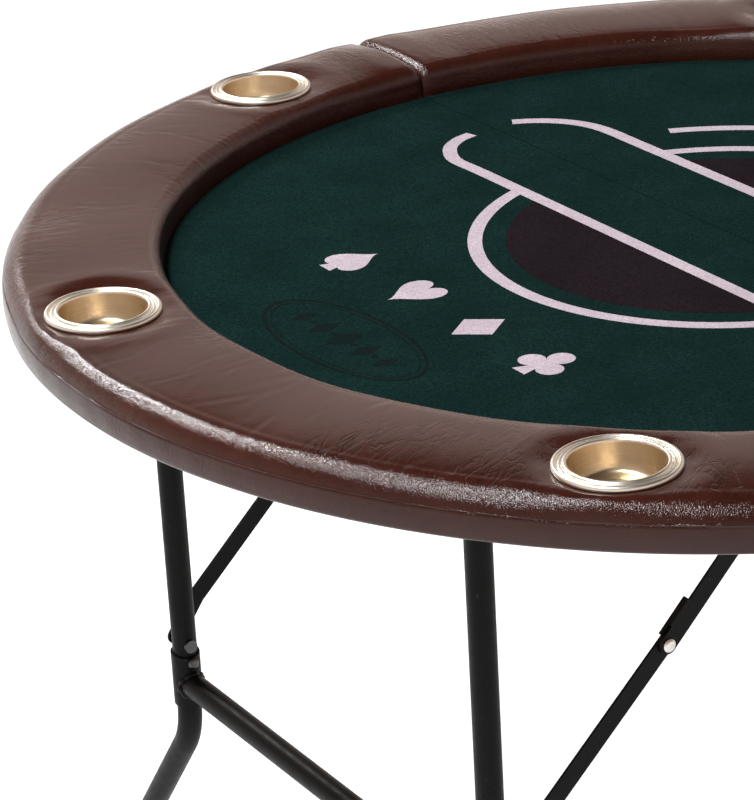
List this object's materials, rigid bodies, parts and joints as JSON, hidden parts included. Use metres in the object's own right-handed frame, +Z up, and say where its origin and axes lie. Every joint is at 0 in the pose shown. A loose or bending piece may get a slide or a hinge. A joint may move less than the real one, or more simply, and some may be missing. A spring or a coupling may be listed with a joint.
{
  "type": "folding poker table",
  "caption": "Round folding card table with a padded vinyl armrest, drop-in cup holders, printed felt in two halves and folding tubular steel leg frames.",
  "frame": {"origin": "on the floor under the middle of the round top", "axes": "+Z up; +X across the seam from the left half to the right half; +Y along the seam"},
  "size_m": [1.2198, 1.22, 0.7654],
  "materials": {
    "rail_vinyl": "satin",
    "felt": "matte",
    "board_wood": "matte",
    "cup_metal": "brushed",
    "black_frame": "satin",
    "plain_steel": "satin",
    "foot_rubber": "matte"
  },
  "bodies": {
    "tabletop": {"board_left": "board_wood", "board_right": "board_wood", "felt_left": "felt", "felt_right": "felt", "rail_core_left": "board_wood", "rail_core_right": "board_wood", "rail_pad_left": "rail_vinyl", "rail_pad_right": "rail_vinyl", "battens_left": "board_wood", "battens_right": "board_wood", "batten_screws": "plain_steel", "seam_hinge_leaves_left": "plain_steel", "seam_hinge_leaves_right": "plain_steel", "seam_hinge_pins": "plain_steel", "seam_hinge_screws": "plain_steel", "leg_saddles_left": "black_frame", "leg_saddles_right": "black_frame", "saddle_screws": "plain_steel", "brace_brackets_left": "black_frame", "brace_brackets_right": "black_frame", "bracket_screws": "plain_steel"},
    "leg_frame_left": {"hinge_tube_left": "black_frame", "upper_legs_left": "black_frame", "leg_sleeves_left": "black_frame", "lower_legs_left": "black_frame", "crossbar_left": "black_frame", "foot_caps_left": "foot_rubber", "leg_screws_left": "plain_steel", "brace_pins_left": "plain_steel"},
    "upper_brace_left_front": {"upper_brace_left_front": "black_frame", "knee_rivet_left_front": "plain_steel"},
    "lower_brace_left_front": {"lower_brace_left_front": "black_frame"},
    "upper_brace_left_rear": {"upper_brace_left_rear": "black_frame", "knee_rivet_left_rear": "plain_steel"},
    "lower_brace_left_rear": {"lower_brace_left_rear": "black_frame"},
    "leg_frame_right": {"hinge_tube_right": "black_frame", "upper_legs_right": "black_frame", "leg_sleeves_right": "black_frame", "lower_legs_right": "black_frame", "crossbar_right": "black_frame", "foot_caps_right": "foot_rubber", "leg_screws_right": "plain_steel", "brace_pins_right": "plain_steel"},
    "upper_brace_right_front": {"upper_brace_right_front": "black_frame", "knee_rivet_right_front": "plain_steel"},
    "lower_brace_right_front": {"lower_brace_right_front": "black_frame"},
    "upper_brace_right_rear": {"upper_brace_right_rear": "black_frame", "knee_rivet_right_rear": "plain_steel"},
    "lower_brace_right_rear": {"lower_brace_right_rear": "black_frame"},
    "cup_holder_1": {"cup_holder_1": "cup_metal"},
    "cup_holder_2": {"cup_holder_2": "cup_metal"},
    "cup_holder_3": {"cup_holder_3": "cup_metal"},
    "cup_holder_4": {"cup_holder_4": "cup_metal"},
    "cup_holder_5": {"cup_holder_5": "cup_metal"},
    "cup_holder_6": {"cup_holder_6": "cup_metal"}
  },
  "joints": [
    {"name": "leg_fold_left", "type": "hinge", "parent": "tabletop", "child": "leg_frame_left", "pos_m": [-0.417, 0, 0.688], "axis": [0, -1, 0], "range_deg": [0, 90]},
    {"name": "upper_brace_fold_left_front", "type": "hinge", "parent": "tabletop", "child": "upper_brace_left_front", "pos_m": [-0.105, -0.26625, 0.688], "axis": [0, -1, 0], "range_deg": [-45.4, 0]},
    {"name": "lower_brace_fold_left_front", "type": "hinge", "parent": "leg_frame_left", "child": "lower_brace_left_front", "pos_m": [-0.417, -0.26325, 0.374], "axis": [0, -1, 0], "range_deg": [0, 45.1]},
    {"name": "upper_brace_fold_left_rear", "type": "hinge", "parent": "tabletop", "child": "upper_brace_left_rear", "pos_m": [-0.105, 0.26625, 0.688], "axis": [0, -1, 0], "range_deg": [-45.4, 0]},
    {"name": "lower_brace_fold_left_rear", "type": "hinge", "parent": "leg_frame_left", "child": "lower_brace_left_rear", "pos_m": [-0.417, 0.26325, 0.374], "axis": [0, -1, 0], "range_deg": [0, 45.1]},
    {"name": "leg_fold_right", "type": "hinge", "parent": "tabletop", "child": "leg_frame_right", "pos_m": [0.417, 0, 0.688], "axis": [0, 1, 0], "range_deg": [0, 86]},
    {"name": "upper_brace_fold_right_front", "type": "hinge", "parent": "tabletop", "child": "upper_brace_right_front", "pos_m": [0.105, -0.26625, 0.688], "axis": [0, 1, 0], "range_deg": [-44.6, 0]},
    {"name": "lower_brace_fold_right_front", "type": "hinge", "parent": "leg_frame_right", "child": "lower_brace_right_front", "pos_m": [0.417, -0.26325, 0.374], "axis": [0, 1, 0], "range_deg": [0, 44.3]},
    {"name": "upper_brace_fold_right_rear", "type": "hinge", "parent": "tabletop", "child": "upper_brace_right_rear", "pos_m": [0.105, 0.26625, 0.688], "axis": [0, 1, 0], "range_deg": [-44.6, 0]},
    {"name": "lower_brace_fold_right_rear", "type": "hinge", "parent": "leg_frame_right", "child": "lower_brace_right_rear", "pos_m": [0.417, 0.26325, 0.374], "axis": [0, 1, 0], "range_deg": [0, 44.3]},
    {"name": "cup_1_lift", "type": "slide", "parent": "tabletop", "child": "cup_holder_1", "axis": [0, 0, 1], "range_m": [0, 0.06]},
    {"name": "cup_2_lift", "type": "slide", "parent": "tabletop", "child": "cup_holder_2", "axis": [0, 0, 1], "range_m": [0, 0.06]},
    {"name": "cup_3_lift", "type": "slide", "parent": "tabletop", "child": "cup_holder_3", "axis": [0, 0, 1], "range_m": [0, 0.06]},
    {"name": "cup_4_lift", "type": "slide", "parent": "tabletop", "child": "cup_holder_4", "axis": [0, 0, 1], "range_m": [0, 0.06]},
    {"name": "cup_5_lift", "type": "slide", "parent": "tabletop", "child": "cup_holder_5", "axis": [0, 0, 1], "range_m": [0, 0.06]},
    {"name": "cup_6_lift", "type": "slide", "parent": "tabletop", "child": "cup_holder_6", "axis": [0, 0, 1], "range_m": [0, 0.06]}
  ],
  "couplings": [
    {"joint": "upper_brace_fold_left_front", "follows": "leg_fold_left", "ratio": -0.502},
    {"joint": "lower_brace_fold_left_front", "follows": "leg_fold_left", "ratio": 0.498},
    {"joint": "upper_brace_fold_left_rear", "follows": "leg_fold_left", "ratio": -0.502},
    {"joint": "lower_brace_fold_left_rear", "follows": "leg_fold_left", "ratio": 0.498},
    {"joint": "upper_brace_fold_right_front", "follows": "leg_fold_right", "ratio": -0.5157},
    {"joint": "lower_brace_fold_right_front", "follows": "leg_fold_right", "ratio": 0.5115},
    {"joint": "upper_brace_fold_right_rear", "follows": "leg_fold_right", "ratio": -0.5157},
    {"joint": "lower_brace_fold_right_rear", "follows": "leg_fold_right", "ratio": 0.5115}
  ]
}
